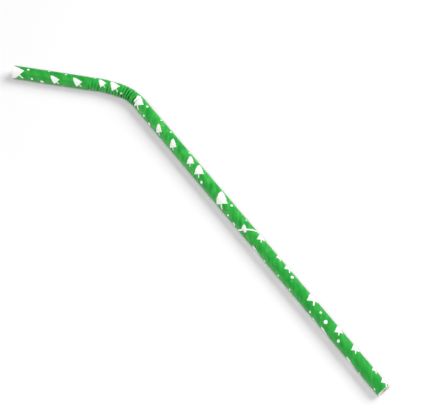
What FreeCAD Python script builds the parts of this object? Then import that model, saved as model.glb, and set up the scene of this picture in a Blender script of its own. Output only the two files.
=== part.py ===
import FreeCAD, Part
import os

# Paper drinking straw with a crimped neck, bent and lying flat.
# It is one tube of wound paper: a long arm, a neck of ring-shaped crimps that
# holds its bend, and a short arm that ends in the mouth.
# Frame: +X runs along the long arm from the foot towards the neck, +Z is up,
# and the tube rests on the plane z = 0 with the middle of its box at x = y = 0.

# Driving sizes in millimetres, counts and degrees
SIZES = [
    ("outside_diameter", "6.0"),
    ("paper_wall", "0.4"),
    ("long_arm", "177.5"),
    ("short_arm", "35.5"),
    ("crimp_pitch", "1.5"),
    ("crimp_depth", "0.42"),
    ("tight_crimps", "7"),
    ("tight_bend", "30.8"),
    ("slack_crimps", "11"),
    ("slack_bend", "12.9"),
    ("bore_overrun", "1.0"),
]

doc = FreeCAD.newDocument("paper_straw")
sheet = doc.addObject("Spreadsheet::Sheet", "Sizes")
for row, (alias, number) in enumerate(SIZES, start=1):
    sheet.set(f"A{row}", alias)
    sheet.set(f"B{row}", number)
    sheet.setAlias(f"B{row}", alias)
doc.recompute()

# The centreline, as expressions on the sheet. The foot is at x = 0, y = 0.
# The neck is two arcs, each tangent to what comes before it: the crimps next
# to the long arm take most of the bend, and the rest open out gently.
AXIS_HEIGHT = "Sizes.outside_diameter / 2"
OUTER_RADIUS = "Sizes.outside_diameter / 2"
BORE_RADIUS = "(Sizes.outside_diameter / 2 - Sizes.paper_wall)"
TIGHT_RADIUS = "(Sizes.tight_crimps * Sizes.crimp_pitch / (Sizes.tight_bend * pi / 180))"
SLACK_RADIUS = "(Sizes.slack_crimps * Sizes.crimp_pitch / (Sizes.slack_bend * pi / 180))"
WHOLE_BEND = "(Sizes.tight_bend + Sizes.slack_bend)"


def tight_station(turn):
    """Point and heading on the first arc, after it has turned this far."""
    x = f"(Sizes.long_arm + {TIGHT_RADIUS} * sin({turn}))"
    y = f"({TIGHT_RADIUS} * (1 - cos({turn})))"
    return x, y, turn


def slack_station(turn):
    """Point and heading on the second arc, which carries on from the first."""
    start_x, start_y, start = tight_station("Sizes.tight_bend")
    heading = f"({start} + {turn})"
    x = f"({start_x} + {SLACK_RADIUS} * (sin({heading}) - sin({start})))"
    y = f"({start_y} + {SLACK_RADIUS} * (cos({start}) - cos({heading})))"
    return x, y, heading


def set_across(thing, station, setback="0"):
    """Set a ring or tube square to the centreline, facing along its heading."""
    x, y, heading = station
    back_x = f"{x} - {setback} * cos({heading})"
    back_y = f"{y} - {setback} * sin({heading})"
    where = f"vector({back_x}; {back_y}; {AXIS_HEIGHT})"
    thing.setExpression("Placement", f"placement({where}; rotation({heading}; 90; 0))")


def straight_arm(name, station, radius, length, setback="0"):
    """A plain round length that starts at a station of the centreline."""
    arm = doc.addObject("Part::Cylinder", name)
    arm.setExpression("Radius", radius)
    arm.setExpression("Height", length)
    set_across(arm, station, setback)
    return arm


def neck_stations():
    """Crest and root stations in turn, from the long arm to the short arm."""
    halves = 2 * int(sheet.tight_crimps)
    for half in range(halves + 1):
        yield tight_station(f"(Sizes.tight_bend * {half} / {halves})"), half % 2
    halves = 2 * int(sheet.slack_crimps)
    for half in range(1, halves + 1):
        yield slack_station(f"(Sizes.slack_bend * {half} / {halves})"), half % 2


def crimped_neck(name, crest_radius):
    """Rings of crest and root size along the neck, joined by straight flanks."""
    rings = []
    for number, (station, is_root) in enumerate(neck_stations()):
        ring = doc.addObject("Part::Circle", f"{name}_ring_{number}")
        crimp_in = "Sizes.crimp_depth" if is_root else "0"
        ring.setExpression("Radius", f"{crest_radius} - {crimp_in}")
        set_across(ring, station)
        rings.append(ring)
    neck = doc.addObject("Part::Loft", name)
    neck.Sections = rings
    neck.Solid = True
    neck.Ruled = True
    return neck


def whole_form(name, radius, overrun="0"):
    """Both arms and the neck as one solid form, run on past each end."""
    foot = ("0", "0", "0")
    neck_end = slack_station("Sizes.slack_bend")
    pieces = [
        straight_arm(f"{name}_long_arm", foot, radius, f"Sizes.long_arm + {overrun}", overrun),
        crimped_neck(f"{name}_neck", radius),
        straight_arm(f"{name}_short_arm", neck_end, radius, f"Sizes.short_arm + {overrun}"),
    ]
    form = doc.addObject("Part::MultiFuse", name)
    form.Shapes = pieces
    return form


# The straw: the outer form with the bore taken out of it from end to end
straw = doc.addObject("Part::Cut", "straw")
straw.Base = whole_form("outside", OUTER_RADIUS)
straw.Tool = whole_form("bore", BORE_RADIUS, "Sizes.bore_overrun")
straw.Label = "straw"

# The box of the bent tube, which the origin sits under the middle of
neck_end_x, neck_end_y, _ = slack_station("Sizes.slack_bend")
box_length = f"{neck_end_x} + Sizes.short_arm * cos({WHOLE_BEND}) + {OUTER_RADIUS} * sin({WHOLE_BEND})"
mouth_side = f"{neck_end_y} + Sizes.short_arm * sin({WHOLE_BEND}) + {OUTER_RADIUS} * cos({WHOLE_BEND})"
straw.setExpression("Placement.Base.x", f"-({box_length}) / 2")
straw.setExpression("Placement.Base.y", f"-({mouth_side} - {OUTER_RADIUS}) / 2")

doc.recompute()

for item in doc.Objects:
    if "Invalid" in item.State or "Error" in item.State:
        raise RuntimeError(f"{item.Name} did not build: {item.State}")
shape = straw.Shape
if shape.isNull() or not shape.isValid() or len(shape.Solids) != 1:
    raise RuntimeError("the straw is not one valid solid")

os.makedirs("parts", exist_ok=True)
shape.exportStep(f"parts/{straw.Label}.step")
box = shape.BoundBox
print(f"straw: volume {shape.Volume:.1f} mm3, box {box.XMin:.3f} {box.YMin:.3f} {box.ZMin:.3f}",
      f"to {box.XMax:.3f} {box.YMax:.3f} {box.ZMax:.3f}")
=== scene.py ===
"""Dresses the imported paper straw: one printed ribbon of paper wound into a tube and
crimped at its neck, lying on a pale floor in soft light.

Lengths in names that end in _MM, and everything about the paper, are millimetres.
The ribbon has its own flat coordinates, kept in the UV map RIBBON_MAP: x runs along
the ribbon and y runs across it. The print, the ink and the seam are drawn there, so
they wind round the tube with the paper and close up where the neck is crimped.
"""

import math

import bpy
import numpy as np
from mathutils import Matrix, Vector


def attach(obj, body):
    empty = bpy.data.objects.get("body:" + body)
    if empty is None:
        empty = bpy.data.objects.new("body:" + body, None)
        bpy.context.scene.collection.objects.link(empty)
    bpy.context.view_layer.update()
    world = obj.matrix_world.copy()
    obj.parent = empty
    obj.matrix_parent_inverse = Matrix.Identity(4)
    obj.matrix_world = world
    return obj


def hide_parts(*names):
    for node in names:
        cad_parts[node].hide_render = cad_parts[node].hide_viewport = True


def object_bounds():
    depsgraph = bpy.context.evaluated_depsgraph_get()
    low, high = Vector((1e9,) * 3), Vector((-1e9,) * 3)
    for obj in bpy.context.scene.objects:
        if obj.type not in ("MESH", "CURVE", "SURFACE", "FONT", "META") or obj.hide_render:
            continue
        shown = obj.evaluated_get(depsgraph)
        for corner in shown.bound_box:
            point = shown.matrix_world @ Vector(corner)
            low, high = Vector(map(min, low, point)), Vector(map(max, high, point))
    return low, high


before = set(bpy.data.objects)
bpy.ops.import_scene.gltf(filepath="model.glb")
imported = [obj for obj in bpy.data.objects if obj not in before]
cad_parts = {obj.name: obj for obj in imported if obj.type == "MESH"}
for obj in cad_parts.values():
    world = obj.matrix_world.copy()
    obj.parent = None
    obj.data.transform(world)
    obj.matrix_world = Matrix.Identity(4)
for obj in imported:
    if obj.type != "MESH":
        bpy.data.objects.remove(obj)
cad_low, cad_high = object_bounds()

MM = 0.001

# The tube, with the sizes of the part's own sheet
OUTER_RADIUS_MM = 3.0
WALL_MM = 0.4
LONG_ARM_MM = 177.5
SHORT_ARM_MM = 35.5
CRIMP_PITCH_MM = 1.5
CRIMP_DEPTH_MM = 0.42
TIGHT_CRIMPS = 7
SLACK_CRIMPS = 11
TIGHT_BEND = math.radians(30.8)
SLACK_BEND = math.radians(12.9)

# How deep the crimps really are in each part of the neck, as shares of that depth, and
# how many crimps before and after the change the depth takes to ease over
TIGHT_SHARE = 1.38
SLACK_SHARE = 0.7
EASING_CRIMPS = 1.5

# How the depth leans towards the side that the bend closes: what the tight part gains
# there, the least that the slack part has, and what its closing side gains
TIGHT_LEAN = 0.5
SLACK_LEAST = 0.35
SLACK_LEAN = 1.3

# How unlike each other the crimps are, as sines: the share of the depth, and the
# radians from one crimp to the next. The first is the same all round a crimp, and the
# second goes twice through its sine round a crimp.
UNEVEN_WHOLE, WHOLE_STEP = 0.25, 2.4
UNEVEN_ROUND, ROUND_STEP = 0.3, 1.7

# How far the middle of the neck stands out from its two arcs, away from the bend, and
# where that starts, is full, is still full and ends, from the mouth
NECK_BULGE_MM = 0.3
BULGE_PLACES_MM = (37.0, 41.5, 53.5, 58.0)

NECK_MM = (TIGHT_CRIMPS + SLACK_CRIMPS) * CRIMP_PITCH_MM
LENGTH_MM = LONG_ARM_MM + NECK_MM + SHORT_ARM_MM
TIGHT_RADIUS_MM = TIGHT_CRIMPS * CRIMP_PITCH_MM / TIGHT_BEND
SLACK_RADIUS_MM = SLACK_CRIMPS * CRIMP_PITCH_MM / SLACK_BEND

# The outer ribbon. One turn moves it WIND_MM along the tube, and its turns meet edge
# to edge. At the mouth its seam is SEAM_START of a turn before the top, and the neck
# turns the short arm's paper on by NECK_TWIST_MM of its round.
ROUND_MM = 2 * math.pi * OUTER_RADIUS_MM
WIND_MM = 21.735
WIND_ANGLE = math.atan2(ROUND_MM, WIND_MM)
RIBBON_MM = ROUND_MM * math.cos(WIND_ANGLE)
SEAM_START = 0.515
NECK_TWIST_MM = 0.53
RIBBON_MAP = "ribbon"

# The seam between two turns of the ribbon is a groove: its depth, and the shares of
# the depth at these distances from the ribbon's edge
SEAM_DEPTH_MM = 0.05
SEAM_PLACES_MM = np.array([0, 0.06, 0.14])
SEAM_SHARES = (1, 0.35, 0)

# The cut edge of the wall, from the outside to the bore: depths into the wall, and how
# far each place stands back from the cut. Its corners are round, and its plies show as
# shallow grooves.
EDGE_DEPTH_MM = np.array([0.0, 0.02, 0.07, 0.13, 0.16, 0.24, 0.27, 0.34, 0.38, 0.4])
EDGE_BACK_MM = np.array([0.06, 0.015, 0.0, 0.0, 0.025, 0.025, 0.0, 0.0, 0.015, 0.06])

# The mesh: the step along an arm and the rings to a crimp, outside and in the bore,
# where the walls stop short of the cut, how many columns go across the ribbon, and
# in how many steps the length of the paper over the crimps is added up
OUTSIDE_STEP_MM, OUTSIDE_PER_CRIMP = 0.6, 12
BORE_STEP_MM, BORE_PER_CRIMP = 1.2, 6
SHORT_OF_CUT_MM = 0.15
RIBBON_COLUMNS = 55
PAPER_STEPS = 24000

# This attribute is 0 on the crests of the crimps, about 1 in their roots, and
# FLAT_FOLD on the plain arms
CREASE = "crease"
FLAT_FOLD = 0.3

# The print on the ribbon. It repeats every REPEAT_MM.
REPEAT_MM = 1.5 * math.hypot(ROUND_MM, WIND_MM)
# Each tree: where its tip is along and across the ribbon, its height and its width
TREES = {
    "slim": (13.9, 4.3, 4.2, 3.8),
    "outer": (21.45, 11.65, 4.3, 3.85),
    "broad": (28.35, 7.45, 6.7, 6.2),
    "small": (-0.95, 6.25, 4.1, 3.7),
    "middling": (3.1, 10.6, 5.2, 4.75),
}
# Each dot: where it is along and across the ribbon, and its radius
DOTS = {
    "by_the_edge": (1.35, 12.85, 0.88),
    "before_slim": (11.45, 5.2, 0.45),
    "before_outer": (17.75, 10.2, 0.5),
    "after_middling": (12.15, 11.9, 0.7),
    "after_broad": (40.3, 10.55, 0.52),
    "below_broad": (35.7, 12.35, 0.58),
    "above_small": (40.05, 5.55, 0.5),
    "after_slim": (21.9, 4.2, 0.68),
}

# A tree's outline. Its crown widens as this power of the way down, in this many tiers,
# each of which steps in by this share of the half width.
CROWN_POWER = 0.6
TIERS = 3.0
TIER_STEP = 0.1
# Its trunk, as shares of the tree's height and width
TRUNK_START, TRUNK_END = 0.5, 1.34
TRUNK_HALF_WIDTH = 0.055

# How softly the ink ends at the edge of a tree or dot, at the splice, and where it is
# rubbed off
INK_EDGE_MM = 0.12
SPLICE_EDGE_MM = 0.1
RUBBED_EDGE_MM = 0.35

# The splice, where one roll of printed ribbon ends and the next is joined on. The
# print after it is out of step with the print before it.
SPLICE_MM = 189.05
SPLICE_WIDTH_MM = 0.75
OUT_OF_STEP_MM = (-4.8, 0.63)

# The foot is cut a little out of square: the rim's foremost point is FOOT_TURN round
# from the top, and the point across from it stands back by FOOT_SLANT_MM. The paper
# behind the rim moves with it, less and less over FOOT_REACH_MM.
FOOT_SLANT_MM = 0.75
FOOT_TURN = math.radians(20)
FOOT_REACH_MM = 12.0

# Where fingers or lips have rubbed the ink off the mouth's edge: middle on the ribbon,
# and radius
RUBBED_MM = (-9.6, 4.3, 0.0)
RUBBED_RADIUS_MM = 1.5

# The ink, in linear light: the wash runs between two greens, with blots on it. It is
# darker towards both ends of the straw, which towards the foot is painted shade for the
# light falling off there. The crests of the crimps get a painted highlight and the roots
# get painted shade.
WASH_DARK = (0.005, 0.29, 0.040, 1)
WASH_BRIGHT = (0.076, 0.59, 0.080, 1)
BLOT = (0.015, 0.37, 0.046, 1)
NEAR_ENDS = (0.015, 0.33, 0.038, 1)
# Painted highlight on the crests and painted shade in the roots of the crimps
CREST_HIGHLIGHT = (0.020, 0.60, 0.070, 1)
ROOT_SHADE = (0.0, 0.075, 0.012, 1)

# How far it goes towards NEAR_ENDS at the mouth and at the foot, and where on the
# ribbon it does so fully and not at all
MOUTH_SHARE, MOUTH_FULL_MM, MOUTH_NONE_MM = 0.45, 55.0, 85.0
# At the foot this darkening is painted shade, for the light that falls off towards the foot
FOOT_SHADE_SHARE, FOOT_FULL_MM, FOOT_NONE_MM = 0.7, 320.0, 120.0

# How the wash and the blots are drawn: the scale, detail and roughness of each noise,
# where in the noise they start and are full, how the wash is drawn out along the
# ribbon, and how much a blot covers
WASH_NOISE, WASH_FADE = (0.5, 3.0, 0.6), (0.35, 0.65)
WASH_STRETCH = (0.35, 1.0, 1.0)
BLOT_NOISE, BLOT_FADE = (0.9, 2.0, 0.5), (0.35, 0.7)
BLOT_SHARE = 0.5

# What the folds do to it, all painted light: how much the painted highlight brightens a
# crest, from which fold to which the painted shade in a root sets in, how dark that
# shade is without a blot and what a blot adds, and how much of it is painted on bare paper
CREST_HIGHLIGHT_SHARE = 0.35
ROOT_SHADE_FOLDS = (0.4, 1.1)
ROOT_SHADE_SHARE, ROOT_SHADE_BLOT_SHARE = 0.65, 0.35
BARE_ROOT_SHADE_SHARE = 0.15

# Bare paper, each kind between a dull and a bright tone, and the painted shade that its roots
# go towards
PRINT_PAPER = ((0.94, 0.94, 0.90, 1), (1.0, 1.0, 0.97, 1))
CUT_PAPER = ((0.80, 0.78, 0.72, 1), (0.92, 0.91, 0.86, 1))
INNER_PLY = ((0.86, 0.82, 0.72, 1), (0.94, 0.91, 0.83, 1))
PAPER_ROOT_SHADE = (0.50, 0.55, 0.48, 1)

# The tone that the ink takes for the light it throws on the floor, and how far it goes
# towards that tone
THROWN = (0.22, 0.24, 0.22, 1)
THROWN_SHARE = 0.75

# The paper's grain is a cloud with fibres on it: the scale, detail and roughness of
# each noise, its share of the tone, and how the fibres are drawn out. GRAIN_DEPTH is
# how deep it is at most, in metres.
CLOUD_NOISE, CLOUD_SHARE = (1.1, 3.0, 0.6), 0.6
FIBRE_NOISE, FIBRE_SHARE = (1.0, 3.0, 0.65), 0.4
FIBRE_STRETCH = (1.2, 5.0, 5.0)
GRAIN_DEPTH = 0.00003

# How rough the surfaces are where the grain's tone is GRAIN_TONES, and how much they
# reflect
GRAIN_TONES = (0.2, 0.8)
INK_ROUGHNESS, INK_SPECULAR = (0.34, 0.5), 0.4
BARE_ROUGHNESS, BARE_SPECULAR = (0.7, 0.85), 0.25
FLOOR_ROUGHNESS, FLOOR_SPECULAR = 0.9, 0.0

# The floor in metres: half its side, the cells along it, the scale of its clouds, and
# where it fades into the backdrop, give or take
FLOOR_HALF = 2.0
FLOOR_CELLS = 8
FLOOR_CLOUDS = 6.0
FADE_AT, FADE_SOFTNESS = 0.6, 0.3
FLOOR_PAPER = ((0.91, 0.90, 0.91, 1), (0.93, 0.92, 0.93, 1))
BLACK, WHITE = (0, 0, 0, 1), (1, 1, 1, 1)

# The lamps: place and width in metres, and watts
WINDOW = ((-0.12, -0.84, 0.76), 0.94, 11.6)
REFLECTOR = ((-0.28, 0.42, 1.04), 0.85, 8.8)

# The light all round: the level direction of its side walls, the sine of the height
# they reach, how bright they are, and the even light that is everywhere
SIDE_WALLS = (0.45, 0.89, 0.0)
WALL_TOP = 0.55
WALL_LIGHT = 1.0
EVEN_LIGHT = 0.06

# The camera, in metres but for its lens and sensor
LENS_MM = 125.4
SENSOR_MM = 36.0
NEAREST, FARTHEST = 0.05, 20.0
CAMERA_PLACE = (-0.29365, 0.19200, 0.56841)
CAMERA_TARGET = (-0.00028, -0.01781, 0.00015)

# How nodes are set out in their trees
NODES_IN_ROW = 12
NODE_WIDTH, NODE_HEIGHT = 220, 260

# Which output of its node each of these is
MEASURE = 1
OBJECT_PLACE = 3
ATTRIBUTE_NUMBER = 2
DIFFUSE_RAY = 2
GRAIN_HEIGHT = 1


def centreline(from_foot):
    """Points and headings on the middle of the tube, that far from the foot.

    Straight along +X to the neck, then an arc of TIGHT_RADIUS_MM, then an arc of
    SLACK_RADIUS_MM, each turning towards +Y, then straight to the mouth. The neck also
    bulges away from the bend, by NECK_BULGE_MM over most of its length.
    """
    tight = np.clip((from_foot - LONG_ARM_MM) / TIGHT_RADIUS_MM, 0, TIGHT_BEND)
    into_slack = from_foot - LONG_ARM_MM - TIGHT_CRIMPS * CRIMP_PITCH_MM
    slack = np.clip(into_slack / SLACK_RADIUS_MM, 0, SLACK_BEND)
    heading = tight + slack
    short = np.maximum(from_foot - LONG_ARM_MM - NECK_MM, 0)
    x = np.minimum(from_foot, LONG_ARM_MM) + TIGHT_RADIUS_MM * np.sin(tight)
    x += SLACK_RADIUS_MM * (np.sin(TIGHT_BEND + slack) - math.sin(TIGHT_BEND))
    y = TIGHT_RADIUS_MM * (1 - np.cos(tight))
    y += SLACK_RADIUS_MM * (math.cos(TIGHT_BEND) - np.cos(TIGHT_BEND + slack))
    from_mouth = LENGTH_MM - from_foot
    bulge = NECK_BULGE_MM * np.interp(from_mouth, BULGE_PLACES_MM, [0, 1, 1, 0])
    x += short * np.cos(heading) + bulge * np.sin(heading)
    y += short * np.sin(heading) - bulge * np.cos(heading)
    return x, y, heading


def crimp_in(from_foot):
    """How far the crimps pull the wall in: 0 on a crest, 1 in a root.

    1 - |cos(pi n)| with n the number of crimps passed, which is round at the crests
    and pinched to a crease at the roots. It is 0 on both arms.
    """
    passed = (from_foot - LONG_ARM_MM) / CRIMP_PITCH_MM
    in_neck = (passed > 0) & (passed < TIGHT_CRIMPS + SLACK_CRIMPS)
    return np.where(in_neck, 1 - np.abs(np.cos(math.pi * passed)), 0)


def tightness(from_foot):
    """1 where the neck is tight and 0 where it is slack, easing over EASING_CRIMPS."""
    passed = (from_foot - LONG_ARM_MM) / CRIMP_PITCH_MM
    easing = [TIGHT_CRIMPS - EASING_CRIMPS, TIGHT_CRIMPS + EASING_CRIMPS]
    return np.interp(passed, easing, [1, 0])


def mean_pull(from_foot):
    """How far the wall is pulled in on average, in mm.

    It is the crimps' own shape, deeper where the neck is tight than where it is slack.
    """
    share = SLACK_SHARE + (TIGHT_SHARE - SLACK_SHARE) * tightness(from_foot)
    return CRIMP_DEPTH_MM * crimp_in(from_foot) * share


def crimp_pull(from_foot, angle):
    """How far the wall is pulled in, in mm, round the tube at each of these places.

    The mean pull, more towards the side that the bend closes and less towards the side
    that it stretches. In the tight part it is 1 + TIGHT_LEAN sin(angle) of the mean, and
    in the slack part SLACK_LEAST, with SLACK_LEAN sin(angle) squared added on the
    closing half. Each crimp is also deeper or shallower than the last, by sines of its
    number and angle.
    """
    number = np.floor((from_foot - LONG_ARM_MM) / CRIMP_PITCH_MM)[:, None]
    closing = np.sin(angle)
    slack = SLACK_LEAST + SLACK_LEAN * np.maximum(closing, 0)**2
    tight = 1 + TIGHT_LEAN * closing
    lean = slack + (tight - slack) * tightness(from_foot)[:, None]
    uneven = 1 + UNEVEN_WHOLE * np.sin(WHOLE_STEP * number)
    uneven = uneven + UNEVEN_ROUND * np.sin(2 * angle + ROUND_STEP * number)
    return mean_pull(from_foot)[:, None] * lean * uneven


def paper_length(from_mouth):
    """Length of paper from the mouth, following the crimps up and down."""
    fine = np.linspace(0, LENGTH_MM, PAPER_STEPS + 1)
    rise = np.diff(mean_pull(LENGTH_MM - fine))
    along = np.concatenate([[0], np.cumsum(np.hypot(np.diff(fine), rise))])
    return np.interp(from_mouth, fine, along)


def stations(arm_step, per_crimp):
    """Places along the tube, from the mouth to the foot, closer together in the neck."""
    neck_start, neck_end = SHORT_ARM_MM, SHORT_ARM_MM + NECK_MM
    last = LENGTH_MM - SHORT_OF_CUT_MM
    in_short, in_long = int(SHORT_ARM_MM / arm_step), int(LONG_ARM_MM / arm_step)
    in_neck = (TIGHT_CRIMPS + SLACK_CRIMPS) * per_crimp
    short = np.linspace(SHORT_OF_CUT_MM, neck_start, in_short, endpoint=False)
    neck = np.linspace(neck_start, neck_end, in_neck, endpoint=False)
    long = np.linspace(neck_end, last, in_long)
    return np.concatenate([short, neck, long])


def wall_outline():
    """The cut through the wall as one closed line of places from the mouth and depths.

    It goes down the outside from mouth to foot, over the cut edge, back up the bore,
    and over the cut edge at the mouth. The third list says which finish each place has:
    0 printed, 1 cut edge, 2 bore.
    """
    outside = stations(OUTSIDE_STEP_MM, OUTSIDE_PER_CRIMP)
    bore = stations(BORE_STEP_MM, BORE_PER_CRIMP)[::-1]
    runs = [
        (outside, 0 * outside, 0),
        (LENGTH_MM - EDGE_BACK_MM, EDGE_DEPTH_MM, 1),
        (bore, 0 * bore + WALL_MM, 2),
        (EDGE_BACK_MM, EDGE_DEPTH_MM[::-1], 1),
    ]
    at = np.concatenate([place for place, _, _ in runs])
    depth = np.concatenate([inward for _, inward, _ in runs])
    kind = np.concatenate([np.full(len(place), finish) for place, _, finish in runs])
    return at, depth, kind


def wound_tube(name):
    """The straw as a ribbon wound round the wall's outline.

    A point is set by its place on the wall's closed outline and its place across the
    ribbon. Its angle round the tube is the turns of the ribbon so far, less its share
    of the ribbon's width: angle = (length / WIND_MM - across / RIBBON_MM - start)
    turns. It lies at the wall's radius from the centreline, at that angle from the
    top, so the columns of faces follow the ribbon's edges and meet in the seam. Near
    the foot it is set back by up to FOOT_SLANT_MM, as one less the cosine of the angle.
    """
    at, depth, kind = wall_outline()
    across = np.linspace(0, RIBBON_MM, RIBBON_COLUMNS)
    across = np.concatenate([across, SEAM_PLACES_MM, RIBBON_MM - SEAM_PLACES_MM])
    across = np.unique(across)[:-1]
    from_edge = np.minimum(across, RIBBON_MM - across)
    seam = SEAM_DEPTH_MM * np.interp(from_edge, SEAM_PLACES_MM, SEAM_SHARES)

    from_foot = LENGTH_MM - at
    length = paper_length(at)
    x, y, heading = centreline(from_foot)
    twist = NECK_TWIST_MM * np.clip((from_foot - LONG_ARM_MM) / NECK_MM, 0, 1)

    turns = length[:, None] / WIND_MM - across[None, :] / RIBBON_MM - SEAM_START
    angle = 2 * math.pi * turns + twist[:, None] / OUTER_RADIUS_MM
    pull = crimp_pull(from_foot, angle)
    radius = OUTER_RADIUS_MM - depth[:, None] - pull - seam[None, :]
    sideways = radius * np.sin(angle)
    near_foot = np.maximum(1 - from_foot / FOOT_REACH_MM, 0)[:, None]
    set_back = FOOT_SLANT_MM * near_foot * (1 - np.cos(angle - FOOT_TURN)) / 2
    place = np.stack([
        x[:, None] - sideways * np.sin(heading)[:, None] + set_back,
        y[:, None] + sideways * np.cos(heading)[:, None],
        OUTER_RADIUS_MM + radius * np.cos(angle),
    ], axis=-1)
    place[..., 0] += cad_low[0] / MM
    place[..., 1] += cad_low[1] / MM + OUTER_RADIUS_MM

    rows, columns = angle.shape
    row, column = np.meshgrid(np.arange(rows), np.arange(columns), indexing="ij")
    next_row, next_column = (row + 1) % rows, (column + 1) % columns
    corners = [(row, column), (next_row, column), (next_row, next_column), (row, next_column)]
    faces = np.stack([r * columns + c for r, c in corners], axis=-1).reshape(-1, 4)

    # On the ribbon, the last column of faces ends at the ribbon's far edge
    corner_row = np.stack([row, next_row, next_row, row], axis=-1)
    corner_column = np.stack([column, column, column + 1, column + 1], axis=-1)
    across_ribbon = np.append(across, RIBBON_MM)[corner_column]
    down_tube = length[corner_row]
    round_tube = ROUND_MM * (down_tube / WIND_MM - across_ribbon / RIBBON_MM - SEAM_START)
    on_ribbon = down_tube * math.cos(WIND_ANGLE) + round_tube * math.sin(WIND_ANGLE)
    uv = np.stack([on_ribbon, across_ribbon], axis=-1)

    mesh = bpy.data.meshes.new(name)
    mesh.from_pydata(place.reshape(-1, 3) * MM, [], faces)
    mesh.uv_layers.new(name=RIBBON_MAP).uv.foreach_set("vector", uv.ravel())
    crease = mesh.attributes.new(CREASE, "FLOAT", "POINT")
    in_neck = (from_foot > LONG_ARM_MM) & (from_foot < LONG_ARM_MM + NECK_MM)
    fold = np.where(in_neck[:, None], pull / CRIMP_DEPTH_MM, FLAT_FOLD)
    crease.data.foreach_set("value", fold.ravel())
    next_kind = np.roll(kind, -1)
    finish = np.where((kind == 1) | (next_kind == 1), 1, kind)
    mesh.polygons.foreach_set("material_index", np.repeat(finish, columns))
    mesh.polygons.foreach_set("use_smooth", np.ones(len(faces), bool))
    mesh.update()
    piece = bpy.data.objects.new(name, mesh)
    bpy.context.collection.objects.link(piece)
    return piece


class Wiring:
    """Adds nodes to one tree. Each call makes a node, feeds it and returns its output."""

    def __init__(self, tree):
        self.tree = tree
        self.count = 0

    def add(self, kind):
        """A new node, set out in rows."""
        made = self.tree.nodes.new(kind)
        row, column = divmod(self.count, NODES_IN_ROW)
        made.location = (NODE_WIDTH * column, -NODE_HEIGHT * row)
        self.count += 1
        return made

    def node(self, kind, *feeds, output=0, **settings):
        made = self.add(kind)
        for setting, value in settings.items():
            setattr(made, setting, value)
        for number, feed in enumerate(feeds):
            self.feed(made.inputs[number], feed)
        return made.outputs[output]

    def feed(self, socket, value):
        if isinstance(value, bpy.types.NodeSocket):
            self.tree.links.new(value, socket)
        elif value is not None:
            socket.default_value = value

    def math(self, operation, *values, clamp=False):
        return self.node("ShaderNodeMath", *values, operation=operation, use_clamp=clamp)

    def measure(self, operation, *vectors):
        """A number worked out from vectors, such as a length or a distance."""
        kind = "ShaderNodeVectorMath"
        return self.node(kind, *vectors, operation=operation, output=MEASURE)

    def ramp(self, value, start, end, first, last):
        """first up to start, last from end on, and evenly between them."""
        return self.node("ShaderNodeMapRange", value, start, end, first, last)

    def split(self, vector):
        """The numbers of a vector, by the names of their axes."""
        made = self.add("ShaderNodeSeparateXYZ")
        self.feed(made.inputs[0], vector)
        return made.outputs

    def soft_step(self, value, edge, softness):
        """0 below the edge and 1 above it, over a band that wide on each side."""
        return self.node("ShaderNodeMapRange", value, edge - softness, edge + softness,
                         interpolation_type="SMOOTHSTEP")

    def mix(self, factor, first, second):
        mixer = self.add("ShaderNodeMix")
        mixer.data_type = "RGBA"
        self.feed(mixer.inputs["Factor"], factor)
        self.feed(mixer.inputs["A"], first)
        self.feed(mixer.inputs["B"], second)
        return mixer.outputs["Result"]

    def noise(self, vector, scale, detail=2.0, roughness=0.5):
        return self.node("ShaderNodeTexNoise", vector, None, scale, detail, roughness)

    def use(self, group, *feeds, output=0):
        placed = self.add("ShaderNodeGroup")
        placed.node_tree = group
        for number, feed in enumerate(feeds):
            self.feed(placed.inputs[number], feed)
        return placed.outputs[output]


def new_group(name, inputs, outputs):
    """An empty node group with these named sockets, and its wiring."""
    group = bpy.data.node_groups.new(name, "ShaderNodeTree")
    for label, kind in inputs:
        group.interface.new_socket(label, in_out="INPUT", socket_type=kind)
    for label, kind in outputs:
        group.interface.new_socket(label, in_out="OUTPUT", socket_type=kind)
    start = group.nodes.new("NodeGroupInput")
    end = group.nodes.new("NodeGroupOutput")
    return group, Wiring(group), start.outputs, end.inputs


NUMBER, VECTOR = "NodeSocketFloat", "NodeSocketVector"


def fir_tree_group():
    """One little fir tree of the print, its tip pointing back along the ribbon.

    t is the distance from the tip over the height. The half width grows as t to the
    power CROWN_POWER and steps in above each tier, and the base is straight. A thin
    trunk stands below. Out comes 1 inside the tree and 0 outside.
    """
    group, w, given, put = new_group(
        "fir tree",
        [("Along", NUMBER), ("Across", NUMBER), ("Tip along", NUMBER), ("Tip across", NUMBER),
         ("Height", NUMBER), ("Width", NUMBER)],
        [("Mask", NUMBER)],
    )
    along = w.math("SUBTRACT", given["Along"], given["Tip along"])
    along = w.math("WRAP", along, 0.75 * REPEAT_MM, -0.25 * REPEAT_MM)
    across = w.math("SUBTRACT", given["Across"], given["Tip across"])
    aside = w.math("ABSOLUTE", across)
    half = w.math("MULTIPLY", given["Width"], 0.5)
    t = w.math("DIVIDE", along, given["Height"])
    spread = w.math("POWER", w.math("MAXIMUM", t, 0.0), CROWN_POWER)
    tier = w.math("FRACT", w.math("MULTIPLY", t, TIERS))
    notch = w.math("MULTIPLY", w.math("SUBTRACT", 1.0, tier), TIER_STEP)
    edge = w.math("MULTIPLY", w.math("SUBTRACT", spread, notch), half)
    in_side = w.math("SUBTRACT", edge, aside)
    in_base = w.math("MULTIPLY", w.math("SUBTRACT", 1.0, t), given["Height"])
    crown = w.math("MINIMUM", in_side, in_base)
    trunk_half = w.math("MULTIPLY", given["Width"], TRUNK_HALF_WIDTH)
    in_trunk = w.math("SUBTRACT", trunk_half, aside)
    above_end = w.math("MULTIPLY", w.math("SUBTRACT", TRUNK_END, t), given["Height"])
    below_start = w.math("MULTIPLY", w.math("SUBTRACT", t, TRUNK_START), given["Height"])
    trunk = w.math("MINIMUM", w.math("MINIMUM", in_trunk, above_end), below_start)
    w.feed(put["Mask"], w.soft_step(w.math("MAXIMUM", crown, trunk), 0.0, INK_EDGE_MM))
    return group


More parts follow.
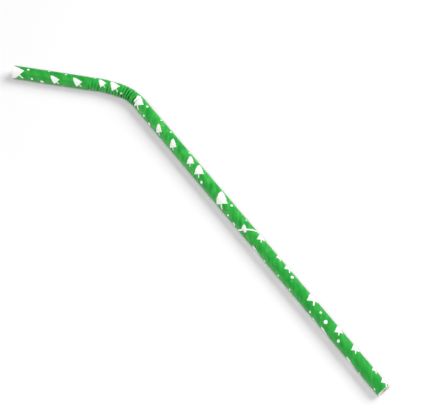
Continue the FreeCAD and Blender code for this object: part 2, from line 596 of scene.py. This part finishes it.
def dot_group():
    """One round dot of the print: 1 where the distance to its middle is under its radius."""
    group, w, given, put = new_group(
        "dot",
        [("Along", NUMBER), ("Across", NUMBER), ("Middle along", NUMBER),
         ("Middle across", NUMBER), ("Radius", NUMBER)],
        [("Mask", NUMBER)],
    )
    along = w.math("SUBTRACT", given["Along"], given["Middle along"])
    along = w.math("WRAP", along, 0.5 * REPEAT_MM, -0.5 * REPEAT_MM)
    across = w.math("SUBTRACT", given["Across"], given["Middle across"])
    squares = w.math("MULTIPLY_ADD", along, along, w.math("MULTIPLY", across, across))
    inside = w.math("SUBTRACT", given["Radius"], w.math("SQRT", squares))
    w.feed(put["Mask"], w.soft_step(inside, 0.0, INK_EDGE_MM))
    return group


def paper_grain_group():
    """Felted fibres of paper: short streaks on a fine cloud. Takes a place in mm."""
    group, w, given, put = new_group(
        "paper grain",
        [("Place", VECTOR), ("Depth", NUMBER)],
        [("Tone", NUMBER), ("Height", NUMBER)],
    )
    cloud = w.noise(given["Place"], *CLOUD_NOISE)
    stretched = w.node("ShaderNodeMapping", given["Place"], None, None, FIBRE_STRETCH)
    fibres = w.noise(stretched, *FIBRE_NOISE)
    cloud = w.math("MULTIPLY", cloud, CLOUD_SHARE)
    tone = w.math("ADD", cloud, w.math("MULTIPLY", fibres, FIBRE_SHARE))
    w.feed(put["Tone"], tone)
    w.feed(put["Height"], w.math("MULTIPLY", tone, given["Depth"]))
    return group


def new_material(name):
    """A material with an empty tree but for its shader, and its wiring."""
    material = bpy.data.materials.new(name)
    material.use_nodes = True
    tree = material.node_tree
    return material, Wiring(tree), tree.nodes["Principled BSDF"].inputs


def rough_bump(w, shader, height):
    """Feeds a height that runs from 0 to 1 to the shader as a bump of the grain's depth."""
    bump = w.add("ShaderNodeBump")
    bump.inputs["Distance"].default_value = GRAIN_DEPTH
    w.feed(bump.inputs["Height"], height)
    w.feed(shader["Normal"], bump.outputs["Normal"])


def printed_paper(grain):
    """Outer ply: mottled green ink, with the trees and dots left as bare white paper."""
    material, w, shader = new_material("green printed paper")
    ribbon = w.node("ShaderNodeUVMap", uv_map=RIBBON_MAP)
    place = w.split(ribbon)
    on_ribbon, across_ribbon = place["X"], place["Y"]
    spliced = w.math("GREATER_THAN", on_ribbon, SPLICE_MM)
    along = w.math("MULTIPLY_ADD", spliced, -OUT_OF_STEP_MM[0], on_ribbon)
    across = w.math("MULTIPLY_ADD", spliced, -OUT_OF_STEP_MM[1], across_ribbon)

    fir, dot = fir_tree_group(), dot_group()
    mask = 0.0
    for tree in TREES.values():
        mask = w.math("MAXIMUM", mask, w.use(fir, along, across, *tree))
    for spot in DOTS.values():
        mask = w.math("MAXIMUM", mask, w.use(dot, along, across, *spot))

    from_splice = w.math("ABSOLUTE", w.math("SUBTRACT", on_ribbon, SPLICE_MM))
    in_splice = w.math("SUBTRACT", SPLICE_WIDTH_MM / 2, from_splice)
    splice = w.soft_step(in_splice, 0.0, SPLICE_EDGE_MM)
    from_rubbed = w.measure("DISTANCE", ribbon, RUBBED_MM)
    in_rubbed = w.math("SUBTRACT", RUBBED_RADIUS_MM, from_rubbed)
    rubbed = w.soft_step(in_rubbed, 0.0, RUBBED_EDGE_MM)
    mask = w.math("MAXIMUM", mask, w.math("MAXIMUM", splice, rubbed))

    drawn_out = w.node("ShaderNodeMapping", ribbon, None, None, WASH_STRETCH)
    wash = w.ramp(w.noise(drawn_out, *WASH_NOISE), *WASH_FADE, 0.0, 1.0)
    blot = w.ramp(w.noise(ribbon, *BLOT_NOISE), *BLOT_FADE, 0.0, 1.0)
    ink = w.mix(wash, WASH_DARK, WASH_BRIGHT)
    ink = w.mix(w.math("MULTIPLY", blot, BLOT_SHARE), ink, BLOT)
    # Darker towards both ends; towards the foot this is painted shade for the light falling
    # off
    at_mouth = w.ramp(on_ribbon, MOUTH_FULL_MM, MOUTH_NONE_MM, MOUTH_SHARE, 0.0)
    foot_shade = w.ramp(on_ribbon, FOOT_NONE_MM, FOOT_FULL_MM, 0.0, FOOT_SHADE_SHARE)
    ink = w.mix(w.math("MAXIMUM", at_mouth, foot_shade), ink, NEAR_ENDS)
    # Painted highlight on the crests of the crimps and painted shade in their roots, deeper
    # under the blots
    fold = w.node("ShaderNodeAttribute", attribute_name=CREASE, output=ATTRIBUTE_NUMBER)
    crest = w.ramp(fold, 0.0, FLAT_FOLD, CREST_HIGHLIGHT_SHARE, 0.0)
    ink = w.mix(crest, ink, CREST_HIGHLIGHT)
    root = w.ramp(fold, *ROOT_SHADE_FOLDS, 0.0, 1.0)
    blotted = w.math("MULTIPLY_ADD", blot, ROOT_SHADE_BLOT_SHARE, ROOT_SHADE_SHARE)
    root = w.math("MULTIPLY", root, blotted)
    ink = w.mix(root, ink, ROOT_SHADE)

    tone = w.use(grain, ribbon, 1.0)
    white = w.mix(tone, *PRINT_PAPER)
    # Painted shade in the roots on the bare paper as well
    white = w.mix(w.math("MULTIPLY", root, BARE_ROOT_SHADE_SHARE), white, PAPER_ROOT_SHADE)
    colour = w.mix(mask, ink, white)

    # Light that the ink throws on the floor is nearly grey, as in the photograph
    thrown = w.node("ShaderNodeLightPath", output=DIFFUSE_RAY)
    colour = w.mix(w.math("MULTIPLY", thrown, THROWN_SHARE), colour, THROWN)

    w.feed(shader["Base Color"], colour)
    w.feed(shader["Roughness"], w.ramp(tone, *GRAIN_TONES, *INK_ROUGHNESS))
    shader["Specular IOR Level"].default_value = INK_SPECULAR
    rough_bump(w, shader, w.use(grain, ribbon, 1.0, output=GRAIN_HEIGHT))
    return material


def bare_paper(grain, name, dull, bright):
    """Unprinted paper between these two tones."""
    material, w, shader = new_material(name)
    place = w.node("ShaderNodeTexCoord", output=OBJECT_PLACE)
    place = w.node("ShaderNodeMapping", place, None, None, (1 / MM, 1 / MM, 1 / MM))
    tone = w.use(grain, place, 1.0)
    w.feed(shader["Base Color"], w.mix(tone, dull, bright))
    w.feed(shader["Roughness"], w.ramp(tone, *GRAIN_TONES, *BARE_ROUGHNESS))
    shader["Specular IOR Level"].default_value = BARE_SPECULAR
    rough_bump(w, shader, w.use(grain, place, 1.0, output=GRAIN_HEIGHT))
    return material


def lay_floor():
    """A wide white sheet under the straw, with a faint cloudiness of its own.

    Away from the straw it fades into a lit white backdrop, like a studio's sweep.
    """
    points = FLOOR_CELLS + 1
    side = np.linspace(-FLOOR_HALF, FLOOR_HALF, points)
    x, y = np.meshgrid(side, side, indexing="ij")
    place = np.stack([x, y, 0 * x], axis=-1).reshape(-1, 3)
    row, column = np.meshgrid(np.arange(FLOOR_CELLS), np.arange(FLOOR_CELLS), indexing="ij")
    first = row * points + column
    corners = [first, first + points, first + points + 1, first + 1]
    faces = np.stack(corners, axis=-1).reshape(-1, 4)
    mesh = bpy.data.meshes.new("floor")
    mesh.from_pydata(place, [], faces)
    mesh.update()
    floor = bpy.data.objects.new("floor", mesh)
    bpy.context.collection.objects.link(floor)
    material, w, shader = new_material("white studio floor")
    place = w.node("ShaderNodeTexCoord", output=OBJECT_PLACE)
    paper = w.mix(w.noise(place, FLOOR_CLOUDS), *FLOOR_PAPER)
    away = w.measure("LENGTH", place)
    backdrop = w.soft_step(away, FADE_AT, FADE_SOFTNESS)
    w.feed(shader["Base Color"], w.mix(backdrop, paper, BLACK))
    w.feed(shader["Emission Color"], w.mix(backdrop, BLACK, WHITE))
    shader["Emission Strength"].default_value = 1.0
    shader["Roughness"].default_value = FLOOR_ROUGHNESS
    shader["Specular IOR Level"].default_value = FLOOR_SPECULAR
    mesh.materials.append(material)


def aim(thing, place, target):
    """Sets a lamp or camera at a place, looking at a target."""
    x, y, z = np.array(target, float) - np.array(place, float)
    thing.location = place
    thing.rotation_euler = (math.atan2(math.hypot(x, y), -z), 0, math.atan2(-x, y))


def soft_lamp(name, place, across, watts):
    """A round lamp that wide, aimed at the straw. It leaves no highlight of its own."""
    lamp = bpy.data.lights.new(name, "AREA")
    lamp.shape = "DISK"
    lamp.size = across
    lamp.energy = watts
    holder = bpy.data.objects.new(name, lamp)
    bpy.context.collection.objects.link(holder)
    holder.visible_glossy = False
    aim(holder, place, (0.0, 0.0, 0.0))


def light_studio():
    """Two wide lamps, and the light all round.

    One lamp stands on the short arm's outer side, and the other lights the side towards
    the camera. Two pale walls, one on each side of the long arm, put a soft sheen along
    its flanks: their light grows towards the floor, and as the square of the cosine of
    the angle from SIDE_WALLS. There is a little even light too, and the backdrop that
    the camera sees beyond the floor is white.
    """
    soft_lamp("window", *WINDOW)
    soft_lamp("reflector", *REFLECTOR)
    world = bpy.data.worlds.new("studio")
    world.use_nodes = True
    w = Wiring(world.node_tree)
    background = world.node_tree.nodes["Background"].inputs
    background["Color"].default_value = WHITE
    toward = w.node("ShaderNodeTexCoord")
    low_down = w.ramp(w.split(toward)["Z"], 0.0, WALL_TOP, 1.0, 0.0)
    beside = w.measure("DOT_PRODUCT", toward, SIDE_WALLS)
    walls = w.math("MULTIPLY", low_down, w.math("MULTIPLY", beside, beside))
    sky = w.math("MULTIPLY_ADD", walls, WALL_LIGHT, EVEN_LIGHT)
    seen = w.node("ShaderNodeLightPath")
    w.feed(background["Strength"], w.ramp(seen, 0.0, 1.0, sky, 1.0))
    bpy.context.scene.world = world
    bpy.context.scene.view_settings.view_transform = "Standard"
    bpy.context.scene.view_settings.look = "None"


def set_camera():
    """The photograph's view: a long lens, looking down at the floor from the foot's side."""
    lens = bpy.data.cameras.new("camera")
    lens.lens = LENS_MM
    lens.sensor_width = SENSOR_MM
    lens.clip_start = NEAREST
    lens.clip_end = FARTHEST
    camera = bpy.data.objects.new("camera", lens)
    bpy.context.collection.objects.link(camera)
    aim(camera, CAMERA_PLACE, CAMERA_TARGET)
    bpy.context.scene.camera = camera


set_camera()
light_studio()
lay_floor()

grain = paper_grain_group()
straw = wound_tube("paper_straw")
straw.data.materials.append(printed_paper(grain))
straw.data.materials.append(bare_paper(grain, "cut white paper", *CUT_PAPER))
straw.data.materials.append(bare_paper(grain, "inner ply", *INNER_PLY))
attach(straw, "root")
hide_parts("straw")
